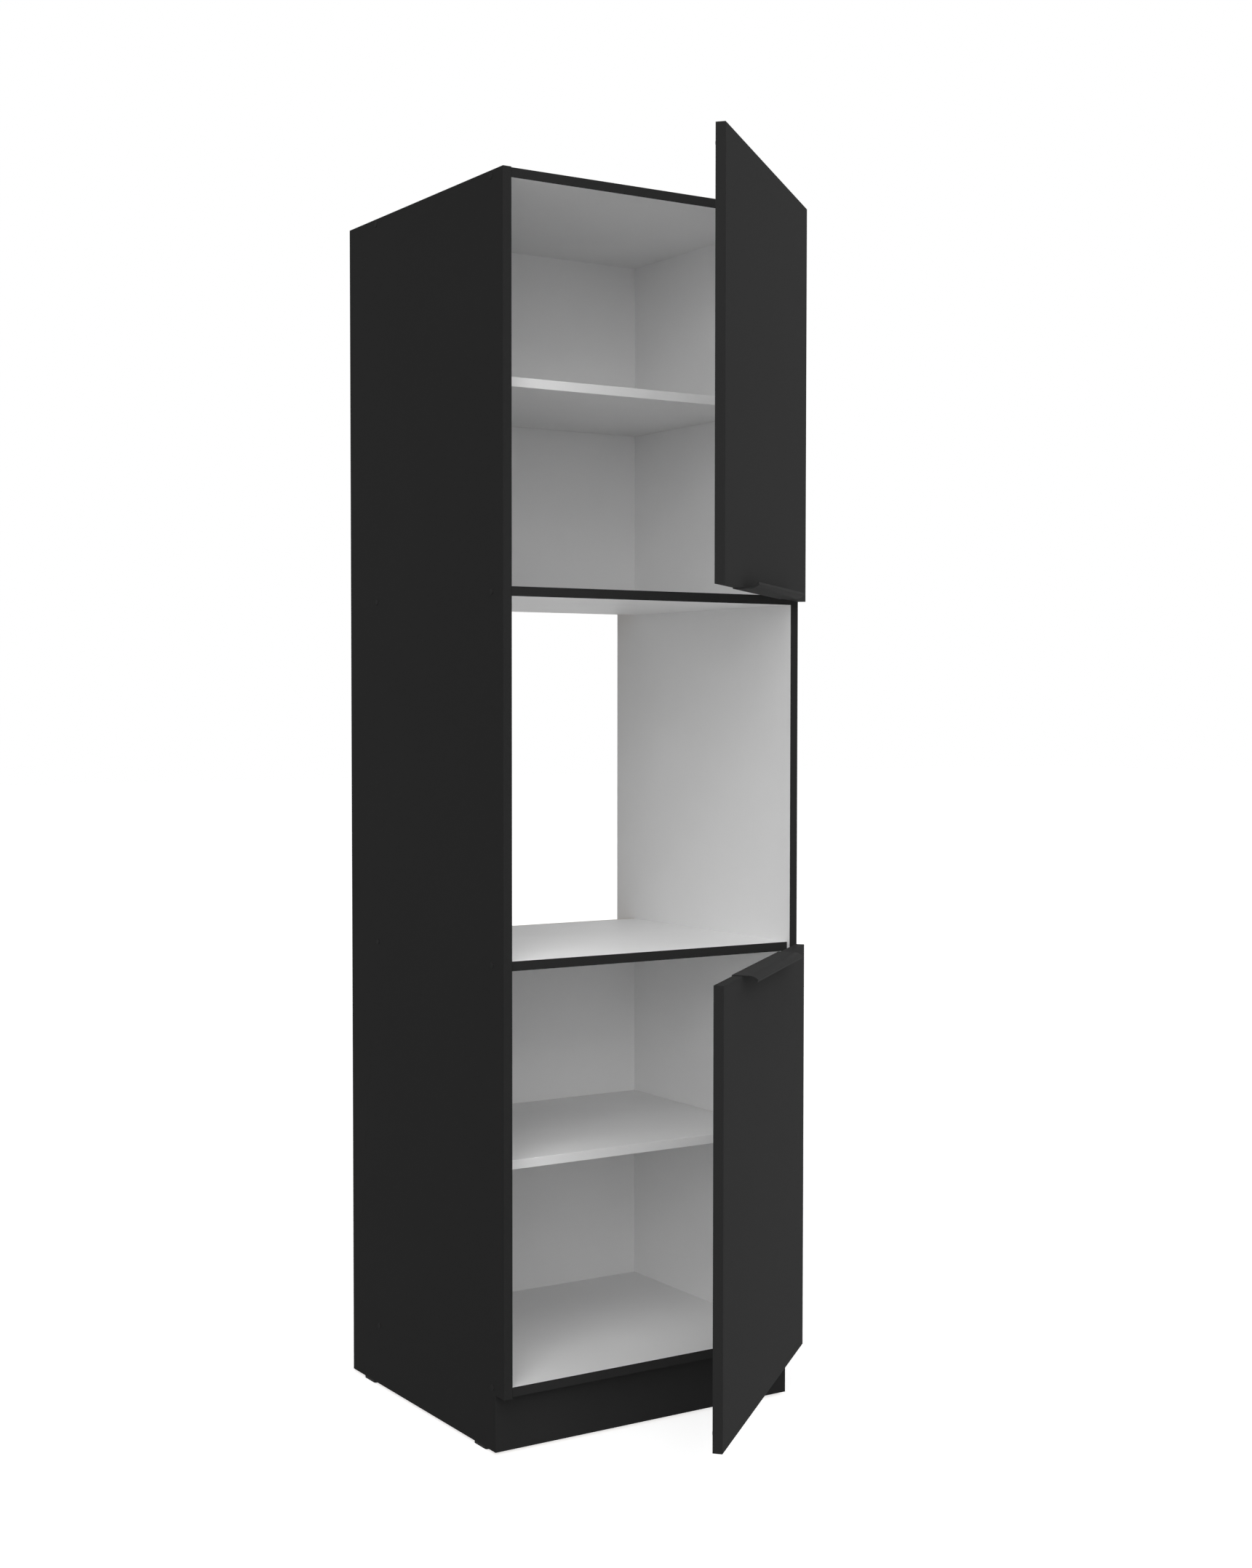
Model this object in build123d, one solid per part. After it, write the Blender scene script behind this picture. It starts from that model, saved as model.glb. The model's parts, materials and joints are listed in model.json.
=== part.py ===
from build123d import *
import math
import os

# Tall kitchen cabinet: lower cupboard, open oven niche and upper cupboard, with two right-hung doors.
# Lengths are millimetres. X runs right, Y runs back and Z runs up from the floor.
# The origin is on the floor, at the centre of the carcass.

# Carcass
carcass_width = 600.0
side_depth = 573.5
board = 16.0
bottom_underside = 99.0
lower_clear_height = 690.0
niche_clear_height = 600.0
upper_clear_height = 661.0
top_drop = 1.0
niche_floor_setback = 8.0
edge_band = 1.0
notch_depth = 30.0
notch_height = 96.0
edge_radius = 0.8
service_void = 61.5
back_board = 3.0
groove_depth = 5.0
groove_play = 0.15

# Shelves and the concealed pins in their ends
upper_shelf_rise = 334.0
lower_shelf_rise = 348.0
shelf_board = 16.0
shelf_setback = 60.0
shelf_side_gap = 0.5
shelf_back_gap = 0.8
shelf_pin_inset = 45.0
shelf_pin_radius = 2.5
shelf_pin_length = 22.0
shelf_pin_side_depth = 9.0

# Glides under the side panels
glide_height = 5.0
glide_length = 43.0
glide_width = 13.0
glide_front_inset = 87.0
glide_rear_inset = 64.5
glide_spigot_radius = 3.0
glide_spigot_height = 10.0

# Fasteners of the carcass, and the cross recess of all pan heads as shares of the head
fit_gap = 0.05
hole_end_gap = 0.5
recess_reach_share = 0.6
recess_width_share = 0.2
recess_depth_share = 0.6
head_round_share = 0.5
screw_front_inset = 40.0
screw_rear_inset = 44.0
screw_length = 50.0
screw_head_radius = 5.0
screw_head_depth = 3.0
screw_shank_radius = 3.5
screw_thread_radius = 2.6
hex_socket_flats = 4.0
hex_socket_depth = 2.5
cap_radius = 5.0
cap_height = 1.0
cap_peg_length = 2.0
dowel_radius = 4.0
dowel_length = 30.0
dowel_side_depth = 11.0
dowel_front_inset = 150.0
dowel_rear_inset = 159.0
plinth_dowel_low = 28.0
plinth_dowel_high = 70.0
back_screw_count = 4
back_screw_end_inset = 60.0
back_screw_radius = 1.5
back_screw_length = 20.0
back_screw_head_radius = 3.2
back_screw_head_height = 1.6

# Wall brackets in the service void
bracket_wall = 2.0
bracket_height = 40.0
bracket_side_leg = 40.0
bracket_wall_leg = 34.0
bracket_drop = 70.0
wall_hole_radius = 3.5
bracket_screw_radius = 2.0
bracket_screw_length = 13.0
bracket_screw_head_radius = 3.8
bracket_screw_head_height = 2.0
bracket_screw_spread = 20.0

# Doors, standing open at rest
door_board = 16.0
door_gap = 2.0
door_side_reveal = 1.5
upper_door_lap = 11.0
upper_door_top_reveal = 0.5
lower_door_top_reveal = 2.7
lower_door_bottom_reveal = 1.3
door_open_angle = 40.9
bumper_radius = 4.0
bumper_height = 1.5
bumper_end_inset = 30.0

# Edge-pull handles
handle_length = 340.0
handle_shift = 7.0
handle_wall = 1.5
handle_flat_reach = 10.0
handle_hollow_reach = 6.5
handle_reach = 25.6
handle_crown_drop = 6.2
handle_nose_height = 4.8
handle_nose_lean = 1.5
handle_edge_radius = 0.5
handle_tab_wall = 1.2
handle_tab_height = 22.0
handle_screw_count = 3
handle_screw_inset = 16.0
handle_screw_spacing = 140.0
handle_screw_radius = 1.5
handle_screw_length = 11.0
handle_screw_head_radius = 2.8
handle_screw_head_height = 1.8

# Concealed hinges: pivots in plan, with the door closed
hinge_end_inset = 95.0
arm_inner_pivot_inset = 19.16
arm_inner_pivot_reach = 3.32
arm_outer_pivot_inset = 31.73
arm_outer_pivot_setback = 5.21
cup_inner_pivot_inset = 8.27
cup_inner_pivot_depth = 3.69
cup_outer_pivot_inset = 9.10
cup_outer_pivot_depth = 0.94
inner_knee_inset = 4.42
inner_knee_depth = 4.81
outer_knee_inset = 18.21
outer_knee_depth = 0.55
inner_link_ratio = -0.716
outer_link_ratio = -0.542

# Concealed hinges: plates, arms, links, cups and pins
eye_radius = 2.4
link_half_width = 1.7
pin_radius = 1.2
open_pin_radius = 0.9
open_pivot_play = 0.6
inner_link_half = 1.8
layer_gap = 0.3
fork_wall = 1.8
outer_link_wall = 1.8
outer_layer_gap = 0.4
cheek_wall = 1.6
arm_wall = 1.5
nose_setback = 9.5
nose_wall = 4.0
arm_rise = 15.5
arm_foot_gap = 3.5
arm_bend_setback = 32.0
arm_foot_setback = 22.0
arm_tail_setback = 66.0
plate_wall = 2.0
plate_line = 37.0
plate_wing_width = 20.0
plate_wing_height = 50.0
plate_corner_radius = 5.0
plate_stem_height = 18.0
plate_front_setback = 26.0
plate_tail_setback = 67.0
rib_front_setback = 34.0
rib_tail_setback = 64.0
rib_side_play = 0.3
plate_screw_spread = 32.0
plate_screw_radius = 3.0
plate_screw_length = 13.0
plate_screw_head_radius = 4.6
plate_screw_head_height = 2.5
arm_screw_setbacks = (41.0, 56.0)
arm_screw_radius = 2.5
arm_screw_length = 8.0
arm_screw_head_radius = 4.2
arm_screw_head_height = 2.0
cup_centre_inset = 20.5
cup_radius = 17.5
cup_depth = 11.5
cup_wall = 1.0
cup_hole_play = 0.1
ear_wall = 1.2
ear_half_width = 7.0
ear_start = 13.5
ear_end = 29.0
ear_corner_radius = 4.0
cup_screw_spread = 48.0
cup_screw_radius = 1.7
cup_screw_length = 12.0
cup_screw_head_radius = 3.0
cup_screw_head_height = 0.5

# Places worked out from the sizes above
half_width = carcass_width / 2
inner_x = half_width - board
front_y = -side_depth / 2
rear_y = side_depth / 2
back_y = rear_y - service_void - back_board
base_z = glide_height
bottom_z = base_z + bottom_underside
niche_floor_z = bottom_z + board + lower_clear_height
niche_ceiling_z = niche_floor_z + board + niche_clear_height
top_z = niche_ceiling_z + board + upper_clear_height
side_top_z = top_z + board + top_drop
fixed_panels = {
    "top_panel": (top_z, 0.0),
    "niche_ceiling_panel": (niche_ceiling_z, 0.0),
    "niche_floor_panel": (niche_floor_z, niche_floor_setback),
    "bottom_panel": (bottom_z, 0.0),
}
screw_ys = [front_y + screw_front_inset, back_y - screw_rear_inset]
dowel_ys = [front_y + dowel_front_inset, back_y - dowel_rear_inset]
upper_shelf_z = niche_ceiling_z + board + upper_shelf_rise
lower_shelf_z = bottom_z + board + lower_shelf_rise
shelf_front_y = front_y + shelf_setback
shelf_rear_y = back_y - shelf_back_gap
pin_ys = [shelf_front_y + shelf_pin_inset, shelf_rear_y - shelf_pin_inset]
glide_ys = [front_y + glide_front_inset, rear_y - glide_rear_inset]
plinth_y = front_y + notch_depth
bracket_z = top_z - bracket_drop
door_edge_x = half_width - door_side_reveal
door_inner_y = front_y - door_gap
doors = {
    "upper": (niche_ceiling_z + board - upper_door_lap, side_top_z - upper_door_top_reveal),
    "lower": (bottom_z + lower_door_bottom_reveal, niche_floor_z + board - lower_door_top_reveal),
}
cup_x = door_edge_x - cup_centre_inset


def block(x, y, z):
    """Box between the two limits given for each axis."""
    size = [limits[1] - limits[0] for limits in (x, y, z)]
    middle = [(limits[0] + limits[1]) / 2 for limits in (x, y, z)]
    return Pos(*middle) * Box(*size)


def rod(start, direction, radius, length):
    """Round bar that leaves the start point along the direction."""
    place = Plane(origin=start, z_dir=direction)
    return place * Cylinder(radius, length, align=(Align.CENTER, Align.CENTER, Align.MIN))


def plan(points, z_low, z_high):
    """Prism over a plan outline."""
    outline = make_face(Polyline(*points, close=True))
    return Pos(0, 0, z_low) * extrude(outline, z_high - z_low, dir=(0, 0, 1))


def strap(start, end, half_width, z_low, z_high):
    """Round-ended bar between two plan points."""
    run = Vector(*end) - Vector(*start)
    side = Vector(-run.Y, run.X).normalized() * half_width
    a, b = Vector(*start), Vector(*end)
    bar = plan([a + side, b + side, b - side, a - side], z_low, z_high)
    ends = [rod((p.X, p.Y, z_low), (0, 0, 1), half_width, z_high - z_low) for p in (a, b)]
    return bar + ends


def group(pieces):
    """Separate solids that share one node."""
    return Compound([solid for piece in pieces for solid in piece.solids()])


# Carcass fasteners


def side_faces():
    """Outer face position and inward direction of the left and right side panels."""
    return [(-half_width, 1), (half_width, -1)]


def screw_places():
    """Entry point and direction of each assembly screw."""
    return [
        ((x, y, z + board / 2), (inward, 0, 0))
        for x, inward in side_faces()
        for z, setback in fixed_panels.values()
        for y in screw_ys
    ]


def assembly_screw(start, direction, play, socket):
    """Countersunk screw, or with play the hole that takes it."""
    place = Plane(origin=start, z_dir=direction)
    low = (Align.CENTER, Align.CENTER, Align.MIN)
    end_play = hole_end_gap if play else 0.0
    head = Cone(screw_head_radius + play, screw_shank_radius + play, screw_head_depth, align=low)
    shank = Cylinder(screw_shank_radius + play, board, align=low)
    thread = Cylinder(screw_thread_radius + play, screw_length + end_play, align=low)
    screw = head + shank + thread
    if socket:
        hexagon = RegularPolygon(hex_socket_flats / 2, 6, major_radius=False)
        screw -= extrude(hexagon, hex_socket_depth)
    return place * screw


def screw_cap(start, direction):
    """Low domed cover with a peg in the screw's socket."""
    outward = tuple(-value for value in direction)
    place = Plane(origin=start, z_dir=outward)
    low = (Align.CENTER, Align.CENTER, Align.MIN)
    high = (Align.CENTER, Align.CENTER, Align.MAX)
    dome = Cylinder(cap_radius, cap_height, align=low)
    dome = fillet(dome.edges().group_by(Axis.Z)[-1], cap_height * 0.7)
    peg = Cylinder(hex_socket_flats / 2 - fit_gap, cap_peg_length, align=high)
    return place * (dome + peg)


def dowel_places():
    """Place of each dowel: joint face, height and direction into the side panel."""
    panel_rows = [
        (x * 1.0, y, z + board / 2)
        for x in (-inner_x, inner_x)
        for z, setback in fixed_panels.values()
        for y in dowel_ys
    ]
    plinth_rows = [
        (x * 1.0, plinth_y + board / 2, base_z + z)
        for x in (-inner_x, inner_x)
        for z in (plinth_dowel_low, plinth_dowel_high)
    ]
    return panel_rows + plinth_rows


def cross_pin(place, radius, length, depth, play):
    """Round pin set to a depth in a side panel's inner face, or with play the hole that takes it."""
    x, y, z = place
    outward = math.copysign(1, x)
    end_play = hole_end_gap if play else 0.0
    start = x + outward * (depth + end_play)
    return rod((start, y, z), (-outward, 0, 0), radius + play, length + 2 * end_play)


def dowel(place, play):
    return cross_pin(place, dowel_radius, dowel_length, dowel_side_depth, play)


def back_screw_places():
    """Entry points of the screws along the top and bottom edge of each back panel."""
    step = (2 * inner_x - 2 * back_screw_end_inset) / (back_screw_count - 1)
    xs = [-inner_x + back_screw_end_inset + i * step for i in range(back_screw_count)]
    return [(x, back_y + back_board, z + board / 2) for z, setback in fixed_panels.values() for x in xs]


def wood_screw(start, direction, radius, length, head_radius, head_height, play):
    """Pan-head screw seated at its start point, or with play the hole for its shank."""
    end_play = hole_end_gap if play else 0.0
    shank = rod(start, direction, radius + play, length + end_play)
    if play:
        return shank
    head = Cylinder(head_radius, head_height, align=(Align.CENTER, Align.CENTER, Align.MIN))
    head = fillet(head.edges().group_by(Axis.Z)[-1], head_height * head_round_share)
    long = 2 * head_radius * recess_reach_share
    wide = 2 * head_radius * recess_width_share
    deep = head_height * recess_depth_share
    for size in ((long, wide), (wide, long)):
        head -= Pos(0, 0, head_height) * Box(*size, 2 * deep)
    back = tuple(-value for value in direction)
    return shank + Plane(origin=start, z_dir=back) * head


def back_screw(place, play):
    return wood_screw(
        place, (0, -1, 0), back_screw_radius, back_screw_length, back_screw_head_radius,
        back_screw_head_height, play,
    )


def bracket_screw_places():
    """Entry points and directions of the wall brackets' screws."""
    y = rear_y - bracket_side_leg / 2
    zs = [bracket_z - bracket_screw_spread / 2, bracket_z + bracket_screw_spread / 2]
    return [((side * (inner_x - bracket_wall), y, z), (side, 0, 0)) for side in (-1, 1) for z in zs]


def bracket_screw(place, direction, play):
    return wood_screw(
        place, direction, bracket_screw_radius, bracket_screw_length, bracket_screw_head_radius,
        bracket_screw_head_height, play,
    )


# Concealed hinge layout in plan, with the door closed

arm_inner_pivot = Vector(inner_x - arm_inner_pivot_inset, front_y - arm_inner_pivot_reach)
arm_outer_pivot = Vector(inner_x - arm_outer_pivot_inset, front_y + arm_outer_pivot_setback)
cup_inner_pivot = Vector(door_edge_x - cup_inner_pivot_inset, door_inner_y - cup_inner_pivot_depth)
cup_outer_pivot = Vector(door_edge_x - cup_outer_pivot_inset, door_inner_y - cup_outer_pivot_depth)
inner_knee = cup_inner_pivot - Vector(inner_knee_inset, inner_knee_depth)
outer_knee = cup_outer_pivot - Vector(outer_knee_inset, outer_knee_depth)

# Layers of the hinge, counted from its middle height
fork_low = inner_link_half + layer_gap
fork_high = fork_low + fork_wall
outer_low = fork_high + outer_layer_gap
outer_high = outer_low + outer_link_wall
cheek_low = outer_high + layer_gap
cheek_high = cheek_low + cheek_wall
channel_half = cheek_high - arm_wall

hinge_heights = {
    name: [low + hinge_end_inset, high - hinge_end_inset] for name, (low, high) in doors.items()
}
all_hinge_heights = hinge_heights["upper"] + hinge_heights["lower"]


def turn_about(pivot, angle):
    """Turn about an upright axis through a plan point."""
    return Pos(pivot.X, pivot.Y, 0) * Rot(0, 0, angle) * Pos(-pivot.X, -pivot.Y, 0)


inner_link_rest = turn_about(arm_inner_pivot, inner_link_ratio * door_open_angle)
outer_link_rest = turn_about(arm_outer_pivot, outer_link_ratio * door_open_angle)
door_rest = inner_link_rest * turn_about(cup_inner_pivot, (1 - inner_link_ratio) * door_open_angle)


def both_sides(low, high):
    """The layer between two distances, above and below the hinge's middle."""
    return [(low, high), (-high, -low)]


def upright_pin(pivot, z_low, z_high, radius):
    return rod((pivot.X, pivot.Y, z_low), (0, 0, 1), radius, z_high - z_low)


def link_blank(pivots, knee, z_low, z_high):
    """Cranked flat bar with an eye at each end."""
    start, end = pivots
    bar = strap(start, knee, link_half_width, z_low, z_high)
    bar += strap(knee, end, link_half_width, z_low, z_high)
    return bar + [upright_pin(pivot, z_low, z_high, eye_radius) for pivot in pivots]


def inner_link():
    pivots = (cup_inner_pivot, arm_inner_pivot)
    link = link_blank(pivots, inner_knee, -inner_link_half, inner_link_half)
    for pivot in pivots:
        link -= upright_pin(pivot, -inner_link_half, inner_link_half, pin_radius + fit_gap)
    return link


def outer_links():
    links = []
    for low, high in both_sides(outer_low, outer_high):
        link = link_blank((cup_outer_pivot, arm_outer_pivot), outer_knee, low, high)
        link -= upright_pin(arm_outer_pivot, low, high, pin_radius + fit_gap)
        link -= upright_pin(cup_outer_pivot, low, high, open_pin_radius + open_pivot_play)
        links.append(link)
    return links


def hinge_arm():
    """Channel on the mounting plate, with a nose that carries both arm pivots."""
    web_x = inner_x - arm_rise
    foot_x = inner_x - arm_foot_gap
    nose_left = arm_outer_pivot.X - eye_radius
    nose_right = arm_inner_pivot.X + eye_radius
    nose_front = front_y + nose_setback
    nose_back = nose_front + nose_wall
    bend_y = front_y + arm_bend_setback
    tail_y = front_y + arm_tail_setback
    outline = [
        (nose_left, nose_front),
        (nose_right, nose_front),
        (foot_x, front_y + arm_foot_setback),
        (foot_x, tail_y),
        (web_x, tail_y),
        (web_x, bend_y),
        (nose_left, nose_back),
    ]
    hollow = [
        (nose_left + 2 * arm_wall, nose_back),
        (inner_x, nose_back),
        (inner_x, tail_y + arm_wall),
        (web_x + arm_wall, tail_y + arm_wall),
        (web_x + arm_wall, bend_y),
    ]
    arm = plan(outline, -cheek_high, cheek_high) - plan(hollow, -channel_half, channel_half)
    for low, high in both_sides(fork_low, fork_high):
        arm += strap(arm_inner_pivot, Vector(arm_inner_pivot.X, nose_front + nose_wall / 2),
                     eye_radius, low, high)
        arm -= upright_pin(arm_inner_pivot, low, high, pin_radius + fit_gap)
    for low, high in both_sides(cheek_low, cheek_high):
        arm += strap(arm_outer_pivot, Vector(arm_outer_pivot.X, nose_front + nose_wall / 2),
                     eye_radius, low, high)
        arm -= upright_pin(arm_outer_pivot, low, high, pin_radius + fit_gap)
    for setback in arm_screw_setbacks:
        arm -= arm_screw(setback, fit_gap)
    return arm


def arm_screw(setback, play):
    """Screw through the arm's web into the mounting plate's rib."""
    place = (inner_x - arm_rise, front_y + setback, 0)
    return wood_screw(
        place, (1, 0, 0), arm_screw_radius, arm_screw_length, arm_screw_head_radius,
        arm_screw_head_height, play,
    )


def plate_screw(z, play):
    """Screw through the mounting plate's wing into the side panel."""
    place = (inner_x - plate_wall, front_y + plate_line, z)
    return wood_screw(
        place, (1, 0, 0), plate_screw_radius, plate_screw_length, plate_screw_head_radius,
        plate_screw_head_height, play,
    )


plate_screw_zs = [-plate_screw_spread / 2, plate_screw_spread / 2]


def mounting_plate():
    """Cross-shaped plate with a rib that fills the arm's channel."""
    flat = (inner_x - plate_wall, inner_x)
    line_y = front_y + plate_line
    wing = block(flat, (line_y - plate_wing_width / 2, line_y + plate_wing_width / 2),
                 (-plate_wing_height / 2, plate_wing_height / 2))
    wing = fillet(wing.edges().filter_by(Axis.X), plate_corner_radius)
    stem = block(flat, (front_y + plate_front_setback, front_y + plate_tail_setback),
                 (-plate_stem_height / 2, plate_stem_height / 2))
    rib_half = channel_half - rib_side_play
    rib = block((inner_x - arm_rise + arm_wall, inner_x),
                (front_y + rib_front_setback, front_y + rib_tail_setback), (-rib_half, rib_half))
    plate = wing + stem + rib
    for z in plate_screw_zs:
        plate -= plate_screw(z, fit_gap)
    for setback in arm_screw_setbacks:
        plate -= arm_screw(setback, fit_gap)
    return plate


def hinge_cup():
    """Pot with two screw ears, two inner lugs and two outer lugs."""
    floor_y = door_inner_y - cup_depth
    inner_floor_y = floor_y + cup_wall
    pot = rod((cup_x, floor_y, 0), (0, 1, 0), cup_radius, cup_depth)
    pot -= rod((cup_x, inner_floor_y, 0), (0, 1, 0), cup_radius - cup_wall, cup_depth)
    for low, high in both_sides(ear_start, ear_end):
        ear = block((cup_x - ear_half_width, cup_x + ear_half_width),
                    (door_inner_y, door_inner_y + ear_wall), (low, high))
        outermost = -1 if low > 0 else 0
        pot += fillet(ear.edges().filter_by(Axis.Y).group_by(Axis.Z)[outermost], ear_corner_radius)
    for z in cup_screw_zs:
        pot -= cup_screw(z, fit_gap)
    lugs = [
        (cup_inner_pivot, fork_low, fork_high, pin_radius + fit_gap),
        (cup_outer_pivot, cheek_low, cheek_high, open_pin_radius + fit_gap),
    ]
    for pivot, inside, outside, hole_radius in lugs:
        foot = Vector(pivot.X, inner_floor_y)
        for low, high in both_sides(inside, outside):
            lug = strap(pivot, foot, eye_radius, low, high)
            lug &= block((cup_x, pivot.X + eye_radius), (floor_y, front_y), (low, high))
            pot += lug
            pot -= upright_pin(pivot, low, high, hole_radius)
    return pot


cup_screw_zs = [-cup_screw_spread / 2, cup_screw_spread / 2]


def cup_screw(z, play):
    """Screw through an ear of the cup into the door."""
    place = (cup_x, door_inner_y + ear_wall, z)
    return wood_screw(
        place, (0, -1, 0), cup_screw_radius, cup_screw_length, cup_screw_head_radius,
        cup_screw_head_height, play,
    )


def arm_pins():
    pins = [upright_pin(arm_inner_pivot, -fork_high, fork_high, pin_radius)]
    for low, high in both_sides(outer_low, cheek_high):
        pins.append(upright_pin(arm_outer_pivot, low, high, pin_radius))
    return pins


def cup_pins():
    pins = [upright_pin(cup_inner_pivot, -fork_high, fork_high, pin_radius)]
    for low, high in both_sides(outer_low, cheek_high):
        pins.append(upright_pin(cup_outer_pivot, low, high, open_pin_radius))
    return pins


def at_heights(pieces, heights):
    """Copies of hinge pieces at each hinge height."""
    return [Pos(0, 0, z) * piece for z in heights for piece in pieces]


# Carcass panels


def side_panel(x, inward):
    """Full-height side with a toe-kick notch, back grooves and the holes of its fasteners."""
    x_inner = x + inward * board
    limits = (min(x, x_inner), max(x, x_inner))
    panel = block(limits, (front_y, rear_y), (base_z, side_top_z))
    panel -= block(limits, (front_y, plinth_y), (base_z, base_z + notch_height))
    panel = fillet(panel.edges().filter_by(Axis.Z).group_by(Axis.Y)[0], edge_radius)
    groove_floor = x_inner - inward * groove_depth
    groove = (min(groove_floor, x_inner), max(groove_floor, x_inner))
    for low, high in back_heights.values():
        panel -= block(groove, (back_y - groove_play, back_y + back_board + groove_play), (low, high))
    cuts = [assembly_screw(start, way, fit_gap, False) for start, way in screw_places() if start[0] == x]
    cuts += [dowel(place, fit_gap) for place in dowel_places() if place[0] * x > 0]
    cuts += [shelf_pin(place, fit_gap) for place in shelf_pin_places() if place[0] * x > 0]
    cuts += [glide_spigot(place, fit_gap) for place in glide_places() if place[0] * x > 0]
    cuts += [bracket_screw(start, way, fit_gap) for start, way in bracket_screw_places() if start[0] * x > 0]
    if x > 0:
        cuts += at_heights([plate_screw(z, fit_gap) for z in plate_screw_zs], all_hinge_heights)
    return panel - cuts


def fixed_panel(z, setback):
    """Board between the sides, behind its front edge band."""
    panel = block((-inner_x, inner_x), (front_y + setback + edge_band, back_y), (z, z + board))
    level = z + board / 2
    cuts = [assembly_screw(start, way, fit_gap, False) for start, way in screw_places() if start[2] == level]
    cuts += [dowel(place, fit_gap) for place in dowel_places() if place[2] == level]
    cuts += [back_screw(place, fit_gap) for place in back_screw_places() if place[2] == level]
    return panel - cuts


def round_front(panel):
    """Level board with its two long front edges rounded."""
    return fillet(panel.edges().filter_by(Axis.X).group_by(Axis.Y)[0], edge_radius)


def front_band(z, setback):
    y = front_y + setback
    return round_front(block((-inner_x, inner_x), (y, y + edge_band), (z, z + board)))


back_heights = {
    "upper": (niche_ceiling_z, top_z + board),
    "lower": (bottom_z, niche_floor_z + board),
}


def back_panel(name):
    """Thin back in the side grooves, screwed to the rear edges of two fixed panels."""
    low, high = back_heights[name]
    half = inner_x + groove_depth - groove_play
    panel = block((-half, half), (back_y, back_y + back_board), (low, high))
    cuts = [back_screw(place, fit_gap) for place in back_screw_places() if low < place[2] < high]
    return panel - cuts


def plinth_board():
    panel = block((-inner_x, inner_x), (plinth_y, plinth_y + board), (base_z, bottom_z))
    cuts = [dowel(place, fit_gap) for place in dowel_places() if place[2] < bottom_z]
    return panel - cuts


def shelf(z):
    """Loose board with blind holes in its ends for the pins."""
    half = inner_x - shelf_side_gap
    panel = round_front(block((-half, half), (shelf_front_y, shelf_rear_y), (z, z + shelf_board)))
    level = z + shelf_board / 2
    return panel - [shelf_pin(place, fit_gap) for place in shelf_pin_places() if place[2] == level]


def shelf_pin_places():
    """Points on the side panels' inner faces, at the middle of the shelves' ends."""
    return [
        (x, y, z + shelf_board / 2)
        for z in (upper_shelf_z, lower_shelf_z)
        for x in (-inner_x, inner_x)
        for y in pin_ys
    ]


def shelf_pin(place, play):
    return cross_pin(place, shelf_pin_radius, shelf_pin_length, shelf_pin_side_depth, play)


def glide_places():
    """Centres of the glides on the undersides of the side panels."""
    middle_x = half_width - board / 2
    return [(x, y, base_z) for x in (-middle_x, middle_x) for y in glide_ys]


def glide_spigot(place, play):
    end_play = hole_end_gap if play else 0.0
    return rod(place, (0, 0, 1), glide_spigot_radius + play, glide_spigot_height + end_play)


def glide(place):
    """Plastic foot with rounded ends and a spigot in the panel's edge."""
    x, y, z = place
    foot = block((x - glide_width / 2, x + glide_width / 2), (y - glide_length / 2, y + glide_length / 2),
                 (z - glide_height, z))
    foot = fillet(foot.edges().filter_by(Axis.Z), glide_width / 3)
    return foot + glide_spigot(place, 0.0)


def wall_bracket(side):
    """Angle with one leg on the side panel and one against the wall."""
    face = side * inner_x
    heights = (bracket_z - bracket_height / 2, bracket_z + bracket_height / 2)
    thin = side * (inner_x - bracket_wall)
    far = side * (inner_x - bracket_wall_leg)
    bracket = block((min(face, thin), max(face, thin)), (rear_y - bracket_side_leg, rear_y), heights)
    bracket += block((min(face, far), max(face, far)), (rear_y - bracket_wall, rear_y), heights)
    hole_x = side * (inner_x - (bracket_wall + bracket_wall_leg) / 2)
    bracket -= rod((hole_x, rear_y - bracket_wall, bracket_z), (0, 1, 0), wall_hole_radius, bracket_wall)
    cuts = [bracket_screw(start, way, fit_gap) for start, way in bracket_screw_places()
            if start[0] * side > 0]
    return bracket - cuts


# Doors, drawn closed


def handle_places():
    """Edge height of each handle and the way its flange lies from the door."""
    return {"upper": (doors["upper"][0], -1), "lower": (doors["lower"][1], 1)}


def handle(name):
    """Edge-pull bar: screw tab, flange over the door's edge and thick lip with a hollow for the fingers."""
    edge_z, outward = handle_places()[name]

    def point(reach, rise):
        return Vector(-handle_shift - handle_length / 2, door_inner_y - reach, edge_z + outward * rise)

    forward = (0, -1, 0)
    tab_top = point(-handle_tab_wall, handle_wall)
    crown_start = point(door_board + handle_flat_reach, handle_wall)
    crown_end = point(door_board + handle_reach, handle_wall - handle_crown_drop)
    tip = point(door_board + handle_reach - handle_nose_lean,
                handle_wall - handle_crown_drop - handle_nose_height)
    hollow_start = point(door_board + handle_hollow_reach, 0)
    tab_end = point(0, -handle_tab_height)
    outline = [
        Line(tab_top, crown_start),
        TangentArc(crown_start, crown_end, tangent=forward),
        Line(crown_end, tip),
        TangentArc(hollow_start, tip, tangent=forward),
        Polyline(hollow_start, point(0, 0), tab_end, point(-handle_tab_wall, -handle_tab_height), tab_top),
    ]
    bar = extrude(make_face(outline), handle_length, dir=(1, 0, 0))
    lengthwise = bar.edges().filter_by(Axis.X)
    soft = [lengthwise.sort_by_distance(corner)[0] for corner in (crown_end, tip)]
    bar = fillet(soft, handle_edge_radius)
    return bar - [handle_screw(place, fit_gap) for place in handle_screw_places(name)]


def handle_screw_places(name):
    edge_z, outward = handle_places()[name]
    first = -handle_shift - handle_screw_spacing * (handle_screw_count - 1) / 2
    return [
        (first + i * handle_screw_spacing, door_inner_y + handle_tab_wall,
         edge_z - outward * handle_screw_inset)
        for i in range(handle_screw_count)
    ]


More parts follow.
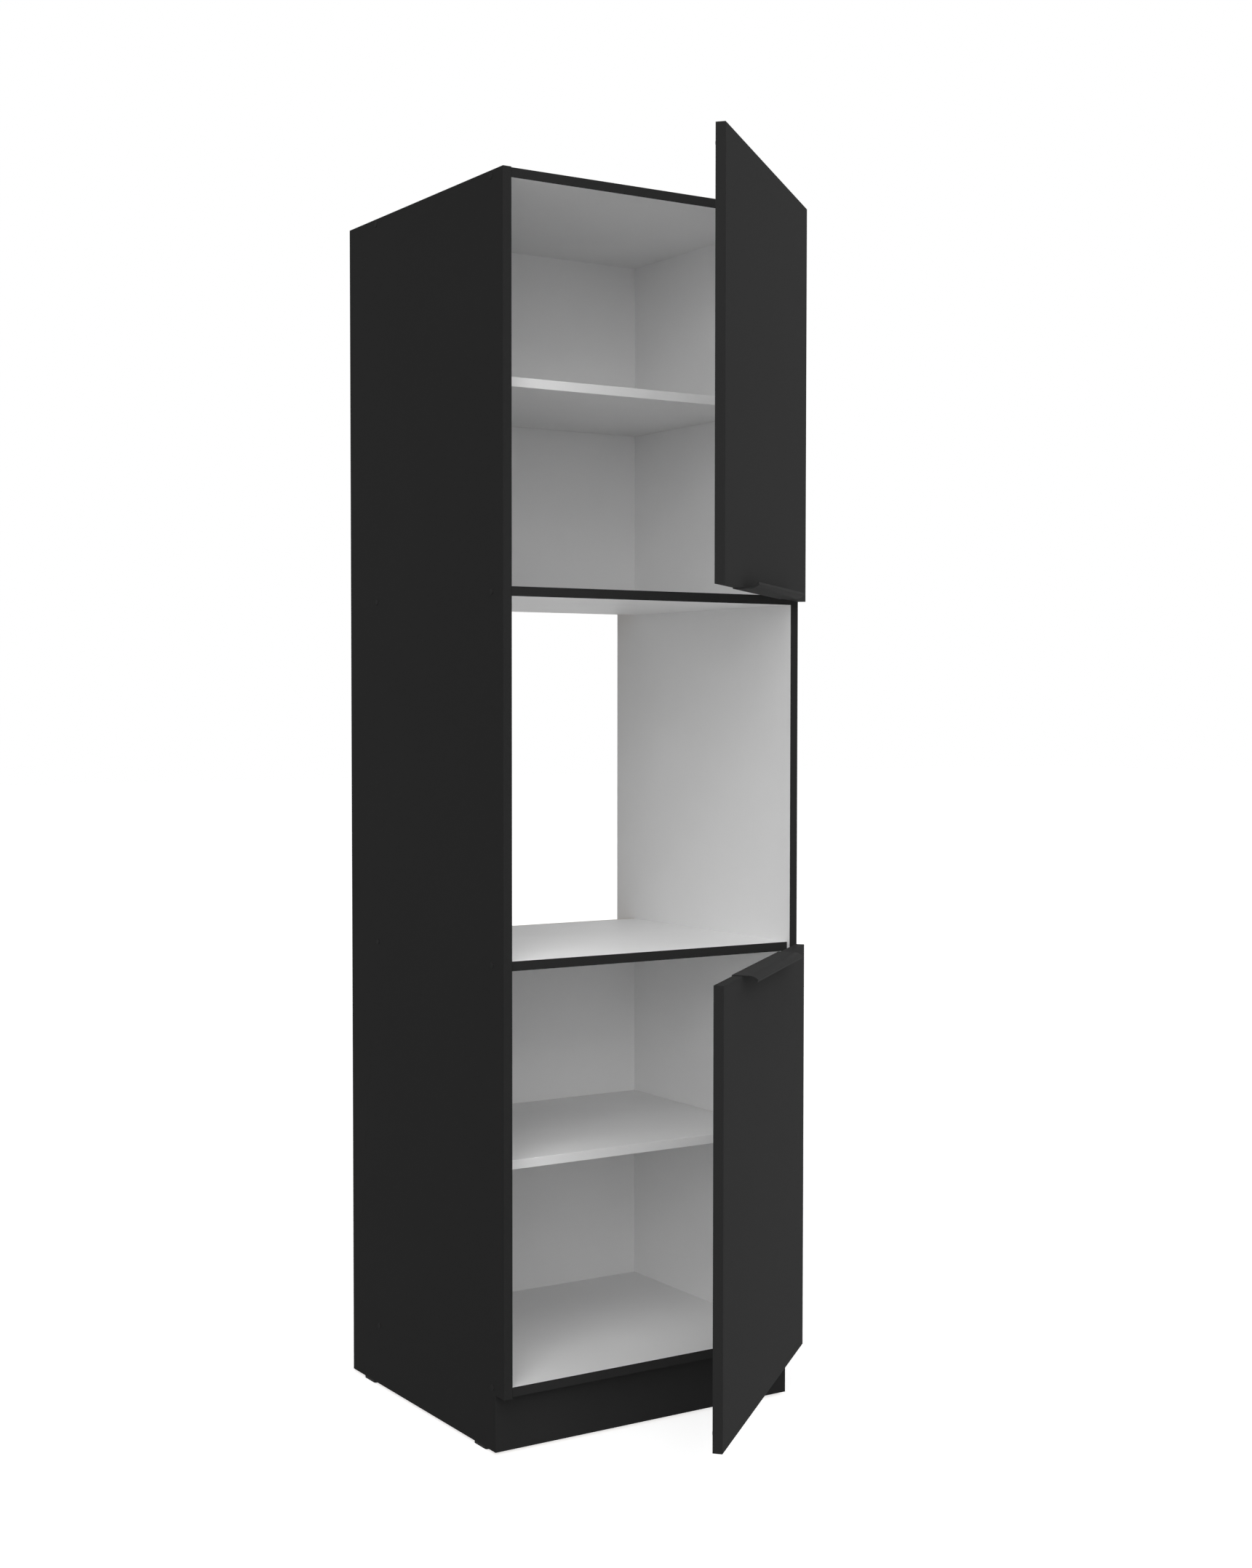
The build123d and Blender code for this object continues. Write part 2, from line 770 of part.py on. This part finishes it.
def handle_screw(place, play):
    return wood_screw(
        place, (0, -1, 0), handle_screw_radius, handle_screw_length, handle_screw_head_radius,
        handle_screw_head_height, play,
    )


def door_panel(name):
    """Door board with bores for the hinge cups and pilot holes for the screws."""
    panel = block((-door_edge_x, door_edge_x), (door_inner_y - door_board, door_inner_y), doors[name])
    panel = fillet(panel.faces().sort_by(Axis.Y)[0].edges(), edge_radius)
    bore = rod((cup_x, door_inner_y, 0), (0, -1, 0), cup_radius + cup_hole_play, cup_depth + cup_hole_play)
    cuts = [bore] + [cup_screw(z, fit_gap) for z in cup_screw_zs]
    panel -= at_heights(cuts, hinge_heights[name])
    return panel - [handle_screw(place, fit_gap) for place in handle_screw_places(name)]


def bumpers(name):
    """Soft pads that meet the left side panel's front edge when the door shuts."""
    low, high = doors[name]
    x = -half_width + board / 2
    pads = []
    for z in (low + bumper_end_inset, high - bumper_end_inset):
        pad = Cylinder(bumper_radius, bumper_height, align=(Align.CENTER, Align.CENTER, Align.MIN))
        pad = fillet(pad.edges().group_by(Axis.Z)[-1], bumper_height * 0.8)
        pads.append(Plane(origin=(x, door_inner_y, z), z_dir=(0, 1, 0)) * pad)
    return pads


# Nodes

nodes = {
    "left_side_panel": side_panel(-half_width, 1),
    "right_side_panel": side_panel(half_width, -1),
    "upper_back_panel": back_panel("upper"),
    "lower_back_panel": back_panel("lower"),
    "plinth_board": plinth_board(),
    "upper_shelf": shelf(upper_shelf_z),
    "lower_shelf": shelf(lower_shelf_z),
    "panel_edge_bands": group([front_band(*spot) for spot in fixed_panels.values()]),
    "shelf_pins": group([shelf_pin(place, 0.0) for place in shelf_pin_places()]),
    "floor_glides": group([glide(place) for place in glide_places()]),
    "assembly_screws": group([assembly_screw(*place, 0.0, True) for place in screw_places()]),
    "screw_caps": group([screw_cap(*place) for place in screw_places()]),
    "wood_dowels": group([dowel(place, 0.0) for place in dowel_places()]),
    "back_panel_screws": group([back_screw(place, 0.0) for place in back_screw_places()]),
    "wall_brackets": group([wall_bracket(side) for side in (-1, 1)]),
    "wall_bracket_screws": group([bracket_screw(*place, 0.0) for place in bracket_screw_places()]),
    "hinge_mounting_plates": group(at_heights([mounting_plate()], all_hinge_heights)),
    "hinge_plate_screws": group(
        at_heights([plate_screw(z, 0.0) for z in plate_screw_zs], all_hinge_heights)),
    "hinge_arms": group(at_heights([hinge_arm()], all_hinge_heights)),
    "hinge_arm_screws": group(
        at_heights([arm_screw(setback, 0.0) for setback in arm_screw_setbacks], all_hinge_heights)),
    "hinge_arm_pins": group(at_heights(arm_pins(), all_hinge_heights)),
}
for panel_name, spot in fixed_panels.items():
    nodes[panel_name] = fixed_panel(*spot)
for name, heights in hinge_heights.items():
    screws = [handle_screw(place, 0.0) for place in handle_screw_places(name)]
    cup_screws = [cup_screw(z, 0.0) for z in cup_screw_zs]
    nodes[name + "_door_panel"] = door_rest * door_panel(name)
    nodes[name + "_door_handle"] = door_rest * handle(name)
    nodes[name + "_handle_screws"] = door_rest * group(screws)
    nodes[name + "_door_bumpers"] = door_rest * group(bumpers(name))
    nodes[name + "_hinge_cups"] = door_rest * group(at_heights([hinge_cup()], heights))
    nodes[name + "_cup_screws"] = door_rest * group(at_heights(cup_screws, heights))
    nodes[name + "_cup_pins"] = door_rest * group(at_heights(cup_pins(), heights))
    nodes[name + "_inner_links"] = inner_link_rest * group(at_heights([inner_link()], heights))
    nodes[name + "_outer_links"] = outer_link_rest * group(at_heights(outer_links(), heights))

os.makedirs("parts", exist_ok=True)
for node_name, shape in nodes.items():
    export_step(shape, "parts/" + node_name + ".step")
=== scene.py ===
import bpy
import json
import math
from mathutils import Matrix, Vector

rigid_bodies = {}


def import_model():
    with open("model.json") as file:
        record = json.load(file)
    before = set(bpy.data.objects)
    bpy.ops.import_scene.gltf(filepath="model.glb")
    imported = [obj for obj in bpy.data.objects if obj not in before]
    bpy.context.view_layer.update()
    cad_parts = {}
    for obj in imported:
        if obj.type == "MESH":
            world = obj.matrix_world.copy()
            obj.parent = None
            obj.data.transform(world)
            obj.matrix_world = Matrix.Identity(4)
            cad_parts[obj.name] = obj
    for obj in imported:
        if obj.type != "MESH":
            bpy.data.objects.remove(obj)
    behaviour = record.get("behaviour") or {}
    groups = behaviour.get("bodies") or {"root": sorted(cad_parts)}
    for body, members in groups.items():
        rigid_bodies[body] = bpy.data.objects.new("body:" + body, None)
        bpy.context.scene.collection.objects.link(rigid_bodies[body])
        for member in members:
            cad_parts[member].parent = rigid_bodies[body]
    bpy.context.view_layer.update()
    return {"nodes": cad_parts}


# Camera of the photograph, in metres and degrees
IMAGE_SIZE = (1721, 2156)
FOCAL_PIXELS = 2965.8
CAMERA_PLACE = (-2.0308, -3.3574, 1.2468)
CAMERA_YAW = 32.656
CAMERA_PITCH = 2.073
CAMERA_ROLL = 0.052
SENSOR = 36.0

# Doors stand open by this turn about the upright axis
DOOR_TURN = 40.9

# Planes that tell the faced sides of the boards from their sawn edges, in metres
HALF_WIDTH = 0.300
BOARD = 0.016
FRONT_EDGE = -0.2859
TOE_FRONT = -0.2567
PLANE_TOLERANCE = 0.0003
# A face looks along an axis where its normal's share of that axis is above this
SQUARE_ON = 0.9

DARK_FACING = (0.0245, 0.0245, 0.0245)
LIGHT_FACING = (0.82, 0.82, 0.82)
LIGHT_EDGING = (0.70, 0.70, 0.70)

for leftover in list(bpy.data.objects):
    bpy.data.objects.remove(leftover)
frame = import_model()
nodes = frame["nodes"]


# Materials


class Finish:
    """A node material with helpers for its texture nodes."""

    def __init__(self, name):
        self.material = bpy.data.materials.new(name)
        self.material.use_nodes = True
        self.tree = self.material.node_tree
        self.shader = self.tree.nodes["Principled BSDF"]
        self.place = self.tree.nodes.new("ShaderNodeTexCoord").outputs["Object"]

    def add(self, kind, **values):
        node = self.tree.nodes.new(kind)
        for name, value in values.items():
            setattr(node, name, value)
        return node

    def link(self, source, target):
        self.tree.links.new(source, target)

    def stretched(self, scale):
        """Object coordinates, scaled along each axis."""
        mapping = self.add("ShaderNodeMapping")
        mapping.inputs["Scale"].default_value = scale
        self.link(self.place, mapping.inputs["Vector"])
        return mapping.outputs["Vector"]

    def noise(self, scale, detail=3.0, place=None):
        node = self.add("ShaderNodeTexNoise")
        node.inputs["Scale"].default_value = scale
        node.inputs["Detail"].default_value = detail
        self.link(place or self.place, node.inputs["Vector"])
        return node.outputs["Fac"]

    def cells(self, scale, output, place=None):
        node = self.add("ShaderNodeTexVoronoi")
        node.inputs["Scale"].default_value = scale
        self.link(place or self.place, node.inputs["Vector"])
        return node.outputs[output]

    def ramp(self, fac, *stops):
        """Colour ramp with (position, colour) stops; a single number is a grey."""
        node = self.add("ShaderNodeValToRGB")
        elements = node.color_ramp.elements
        while len(elements) < len(stops):
            elements.new(0.5)
        for element, (position, colour) in zip(elements, stops):
            element.position = position
            rgb = (colour,) * 3 if isinstance(colour, float) else colour
            element.color = (*rgb, 1.0)
        self.link(fac, node.inputs["Fac"])
        return node.outputs["Color"]

    def bump(self, height, depth, strength=1.0):
        node = self.add("ShaderNodeBump")
        node.inputs["Strength"].default_value = strength
        node.inputs["Distance"].default_value = depth
        self.link(height, node.inputs["Height"])
        self.link(node.outputs["Normal"], self.shader.inputs["Normal"])

    def colour(self, output):
        self.link(output, self.shader.inputs["Base Color"])

    def rough(self, output):
        self.link(output, self.shader.inputs["Roughness"])

    def set(self, **values):
        for name, value in values.items():
            self.shader.inputs[name.replace("_", " ")].default_value = value


def shade(colour, factor):
    return tuple(channel * factor for channel in colour)


def faced_board(name, colour, low_rough, high_rough, specular):
    """Matt melamine: a fine pearl grain with faint cloudy variation in tone and sheen."""
    finish = Finish(name)
    cloud = finish.noise(scale=6.0, detail=4.0)
    finish.colour(finish.ramp(cloud, (0.3, shade(colour, 0.985)), (0.7, shade(colour, 1.015))))
    grain = finish.noise(scale=1400.0, detail=2.0)
    finish.rough(finish.ramp(grain, (0.3, low_rough), (0.7, high_rough)))
    finish.bump(grain, depth=0.00004, strength=0.35)
    finish.set(Specular_IOR_Level=specular)
    return finish.material


def chipboard():
    """Sawn particle board: pale and dark chips in a tan core."""
    finish = Finish("sawn_chipboard")
    chips = finish.cells(420.0, "Color", finish.stretched((1.0, 1.0, 1.8)))
    dark_chip, tan_chip, pale_chip = (0.20, 0.125, 0.065), (0.40, 0.27, 0.15), (0.60, 0.45, 0.28)
    finish.colour(finish.ramp(chips, (0.0, dark_chip), (0.45, tan_chip), (1.0, pale_chip)))
    finish.bump(finish.noise(scale=900.0, detail=4.0), depth=0.0003, strength=0.6)
    finish.set(Roughness=0.9, Specular_IOR_Level=0.2)
    return finish.material


def hardboard():
    """Bare rear face of thin fibreboard: brown felted fibres."""
    finish = Finish("bare_hardboard")
    fibres = finish.noise(scale=380.0, detail=6.0, place=finish.stretched((1.0, 1.0, 0.5)))
    finish.colour(finish.ramp(fibres, (0.25, (0.34, 0.23, 0.14)), (0.75, (0.50, 0.36, 0.24))))
    finish.bump(fibres, depth=0.0002, strength=0.5)
    finish.set(Roughness=0.8, Specular_IOR_Level=0.25)
    return finish.material


def coated_metal():
    """Dark powder coat on the handles."""
    finish = Finish("dark_powder_coat")
    grain = finish.noise(scale=2200.0, detail=3.0)
    low_tone, high_tone = shade(DARK_FACING, 0.9), shade(DARK_FACING, 1.1)
    finish.colour(finish.ramp(grain, (0.3, low_tone), (0.7, high_tone)))
    finish.rough(finish.ramp(grain, (0.3, 0.5), (0.7, 0.6)))
    finish.bump(grain, depth=0.00005, strength=0.5)
    finish.set(Specular_IOR_Level=0.01)
    return finish.material


def plated_steel(name, colour, rough):
    """Bright plating over pressed steel, with faint rolling lines."""
    finish = Finish(name)
    lines = finish.noise(scale=2400.0, detail=3.0, place=finish.stretched((1.0, 0.06, 1.0)))
    finish.colour(finish.ramp(lines, (0.3, shade(colour, 0.92)), (0.7, colour)))
    finish.rough(finish.ramp(lines, (0.3, rough - 0.05), (0.7, rough + 0.07)))
    finish.bump(lines, depth=0.00001, strength=0.3)
    finish.set(Metallic=1.0)
    return finish.material


def moulded_plastic(name, tone, specular):
    """Dark plastic with a fine spark-eroded texture."""
    finish = Finish(name)
    grain = finish.noise(scale=1600.0, detail=2.0)
    finish.colour(finish.ramp(grain, (0.3, tone * 0.9), (0.7, tone * 1.1)))
    finish.rough(finish.ramp(grain, (0.3, 0.45), (0.7, 0.6)))
    finish.bump(grain, depth=0.00004, strength=0.4)
    finish.set(Specular_IOR_Level=specular)
    return finish.material


def soft_pad():
    """Pale soft plastic of the door bumpers, slightly cloudy."""
    finish = Finish("soft_pad")
    cloud = finish.noise(scale=300.0, detail=2.0)
    finish.colour(finish.ramp(cloud, (0.3, 0.62), (0.7, 0.70)))
    finish.rough(finish.ramp(cloud, (0.3, 0.3), (0.7, 0.4)))
    return finish.material


def beech():
    """Turned beech of the dowels, with grain along X."""
    finish = Finish("turned_beech")
    grain = finish.noise(scale=300.0, detail=4.0, place=finish.stretched((0.08, 1.0, 1.0)))
    finish.colour(finish.ramp(grain, (0.3, (0.50, 0.33, 0.18)), (0.7, (0.66, 0.47, 0.29))))
    finish.rough(finish.ramp(grain, (0.3, 0.55), (0.7, 0.7)))
    finish.bump(grain, depth=0.0001, strength=0.4)
    return finish.material


dark = faced_board("dark_facing", DARK_FACING, low_rough=0.55, high_rough=0.65, specular=0.009)
light = faced_board("light_facing", LIGHT_FACING, low_rough=0.48, high_rough=0.58, specular=0.35)
edging = faced_board("light_edging", LIGHT_EDGING, low_rough=0.48, high_rough=0.58, specular=0.35)
sawn = chipboard()
fibre = hardboard()
coat = coated_metal()
nickel = plated_steel("nickel_plate", (0.66, 0.645, 0.62), rough=0.27)
zinc = plated_steel("zinc_plate", (0.44, 0.45, 0.47), rough=0.38)
glide = moulded_plastic("moulded_black_plastic", tone=0.012, specular=0.1)
cap = moulded_plastic("screw_cap_plastic", tone=0.021, specular=0.02)
pad = soft_pad()
wood = beech()


# Which finish each CAD face carries


def paint(name, *finishes, choose=None):
    """Gives a node its finishes; choose picks one for each face by its normal and centre."""
    mesh = nodes[name].data
    mesh.materials.clear()
    for finish in finishes:
        mesh.materials.append(finish)
    for face in mesh.polygons:
        picked = choose(face.normal, face.center) if choose else finishes[0]
        face.material_index = finishes.index(picked)


def side_finish(outward):
    """Dark outer face and front edges, light inner face, sawn edges elsewhere."""

    def choose(normal, centre):
        inset = HALF_WIDTH - abs(centre.x)
        if normal.x * outward > SQUARE_ON and abs(inset) < PLANE_TOLERANCE:
            return dark
        if normal.x * outward < -SQUARE_ON and abs(inset - BOARD) < PLANE_TOLERANCE:
            return light
        if centre.y < FRONT_EDGE:
            return dark
        if normal.y < -SQUARE_ON and abs(centre.y - TOE_FRONT) < PLANE_TOLERANCE:
            return dark
        if normal.z < -SQUARE_ON and centre.y < TOE_FRONT:
            return dark
        return sawn

    return choose


def panel_finish(normal, centre):
    return light if abs(normal.z) > SQUARE_ON else sawn


def plinth_finish(normal, centre):
    if normal.y < -SQUARE_ON:
        return dark
    return light if normal.y > SQUARE_ON else sawn


def shelf_finish(normal, centre):
    """Faced above and below, edged at the front, sawn elsewhere."""
    if abs(normal.z) > SQUARE_ON:
        return light
    return sawn if normal.y > SQUARE_ON or abs(normal.x) > SQUARE_ON else edging


def back_finish(normal, centre):
    return light if normal.y < -SQUARE_ON else fibre


def door_finish(normal, centre):
    """Light inner face, dark outer face and edges."""
    shut = Matrix.Rotation(-math.radians(DOOR_TURN), 3, "Z") @ normal
    return light if shut.y > SQUARE_ON else dark


paint("left_side_panel", dark, light, sawn, choose=side_finish(-1))
paint("right_side_panel", dark, light, sawn, choose=side_finish(1))
for name in ("top_panel", "niche_ceiling_panel", "niche_floor_panel", "bottom_panel"):
    paint(name, light, sawn, choose=panel_finish)
paint("plinth_board", dark, light, sawn, choose=plinth_finish)
for name in ("upper_back_panel", "lower_back_panel"):
    paint(name, light, fibre, choose=back_finish)
for name in ("upper_shelf", "lower_shelf"):
    paint(name, light, edging, sawn, choose=shelf_finish)
for name in ("upper_door_panel", "lower_door_panel"):
    paint(name, dark, light, choose=door_finish)
paint("panel_edge_bands", dark)
plain_finishes = {
    coat: ("upper_door_handle", "lower_door_handle"),
    nickel: (
        "hinge_mounting_plates", "hinge_arms", "upper_hinge_cups", "lower_hinge_cups",
        "upper_inner_links", "lower_inner_links", "upper_outer_links", "lower_outer_links",
        "hinge_arm_pins", "upper_cup_pins", "lower_cup_pins",
    ),
    zinc: (
        "wall_brackets", "assembly_screws", "back_panel_screws", "wall_bracket_screws",
        "hinge_plate_screws", "hinge_arm_screws", "upper_cup_screws", "lower_cup_screws",
        "upper_handle_screws", "lower_handle_screws", "shelf_pins",
    ),
    glide: ("floor_glides",),
    cap: ("screw_caps",),
    pad: ("upper_door_bumpers", "lower_door_bumpers"),
    wood: ("wood_dowels",),
}
for finish, names in plain_finishes.items():
    for name in names:
        paint(name, finish)


# Stage: pale floor, soft light and the photograph's camera

WORLD_LIGHT = 0.15
# The floor's tone under the lamps, and its own glow to the camera, near and far
FLOOR_TONE = 0.6
FLOOR_GLOW = (0.72, 0.91)
FLOOR_GLOW_REACH = (1.5, 10.0)
FLOOR_HALF = 30.0
AIM = (0.0, -0.2, 1.0)
SOFTBOX_DISTANCE = 14.0
SOFTBOX_SIZE = 7.0
# Degrees to the right of straight in front, degrees above level, and watts
SOFTBOXES = {
    "low_left": (-40.0, 12.0, 410.0),
    "mid_left": (-40.0, 35.0, 325.0),
    "high_left": (-40.0, 58.0, 415.0),
    "low_front": (-10.0, 12.0, 275.0),
    "mid_front": (-10.0, 35.0, 350.0),
    "right": (80.0, 40.0, 500.0),
    "rear": (180.0, 8.0, 80.0),
}


def seen_directly(tree):
    """One for camera, mirror and see-through rays, and zero for light."""
    path = tree.nodes.new("ShaderNodeLightPath")
    outputs = [path.outputs[n] for n in ("Is Camera Ray", "Is Glossy Ray", "Is Transmission Ray")]
    total = outputs[0]
    for output in outputs[1:]:
        either = tree.nodes.new("ShaderNodeMath")
        either.operation = "MAXIMUM"
        tree.links.new(total, either.inputs[0])
        tree.links.new(output, either.inputs[1])
        total = either.outputs[0]
    return total


def make_world():
    world = bpy.data.worlds.new("studio")
    bpy.context.scene.world = world
    world.use_nodes = True
    tree = world.node_tree
    shader = tree.nodes["Background"]
    shader.inputs["Color"].default_value = (1.0, 1.0, 1.0, 1.0)
    strength = tree.nodes.new("ShaderNodeMapRange")
    strength.inputs["To Min"].default_value = WORLD_LIGHT
    strength.inputs["To Max"].default_value = 1.0
    tree.links.new(seen_directly(tree), strength.inputs["Value"])
    tree.links.new(strength.outputs["Result"], shader.inputs["Strength"])


def make_floor():
    mesh = bpy.data.meshes.new("floor")
    signs = ((-1, -1), (1, -1), (1, 1), (-1, 1))
    corners = [(x * FLOOR_HALF, y * FLOOR_HALF, 0.0) for x, y in signs]
    mesh.from_pydata(corners, [], [(0, 1, 2, 3)])
    floor = bpy.data.objects.new("floor", mesh)
    bpy.context.collection.objects.link(floor)
    material = bpy.data.materials.new("pale_floor")
    material.use_nodes = True
    tree = material.node_tree
    shader = tree.nodes["Principled BSDF"]
    shader.inputs["Base Color"].default_value = (FLOOR_TONE, FLOOR_TONE, FLOOR_TONE, 1.0)
    shader.inputs["Roughness"].default_value = 0.9
    shader.inputs["Specular IOR Level"].default_value = 0.0
    shader.inputs["Emission Color"].default_value = (1.0, 1.0, 1.0, 1.0)
    distance = tree.nodes.new("ShaderNodeVectorMath")
    distance.operation = "LENGTH"
    tree.links.new(tree.nodes.new("ShaderNodeTexCoord").outputs["Object"], distance.inputs[0])
    spread = tree.nodes.new("ShaderNodeMapRange")
    limits = zip(("From Min", "From Max", "To Min", "To Max"), FLOOR_GLOW_REACH + FLOOR_GLOW)
    for socket, value in limits:
        spread.inputs[socket].default_value = value
    tree.links.new(distance.outputs["Value"], spread.inputs["Value"])
    glow = tree.nodes.new("ShaderNodeMath")
    glow.operation = "MULTIPLY"
    tree.links.new(seen_directly(tree), glow.inputs[0])
    tree.links.new(spread.outputs["Result"], glow.inputs[1])
    tree.links.new(glow.outputs[0], shader.inputs["Emission Strength"])
    mesh.materials.append(material)


def softbox(name, turn, height, power):
    """A far square lamp that faces the cabinet, placed by its angles from straight in front."""
    across, up = math.radians(turn), math.radians(height)
    away = Vector((math.cos(up) * math.sin(across), -math.cos(up) * math.cos(across), math.sin(up)))
    data = bpy.data.lights.new(name, "AREA")
    data.size = SOFTBOX_SIZE
    data.energy = power
    lamp = bpy.data.objects.new(name, data)
    lamp.location = Vector(AIM) + away * SOFTBOX_DISTANCE
    lamp.rotation_euler = away.to_track_quat("Z", "Y").to_euler()
    bpy.context.collection.objects.link(lamp)


def make_camera():
    data = bpy.data.cameras.new("camera")
    data.sensor_width = SENSOR
    data.lens = FOCAL_PIXELS * SENSOR / max(IMAGE_SIZE)
    camera = bpy.data.objects.new("camera", data)
    camera.matrix_world = (
        Matrix.Translation(CAMERA_PLACE)
        @ Matrix.Rotation(-math.radians(CAMERA_YAW), 4, "Z")
        @ Matrix.Rotation(math.radians(90.0 - CAMERA_PITCH), 4, "X")
        @ Matrix.Rotation(math.radians(CAMERA_ROLL), 4, "Z")
    )
    bpy.context.collection.objects.link(camera)
    bpy.context.scene.camera = camera


make_world()
make_floor()
for name, (turn, height, power) in SOFTBOXES.items():
    softbox(name, turn, height, power)
make_camera()
bpy.context.scene.view_settings.view_transform = "Standard"
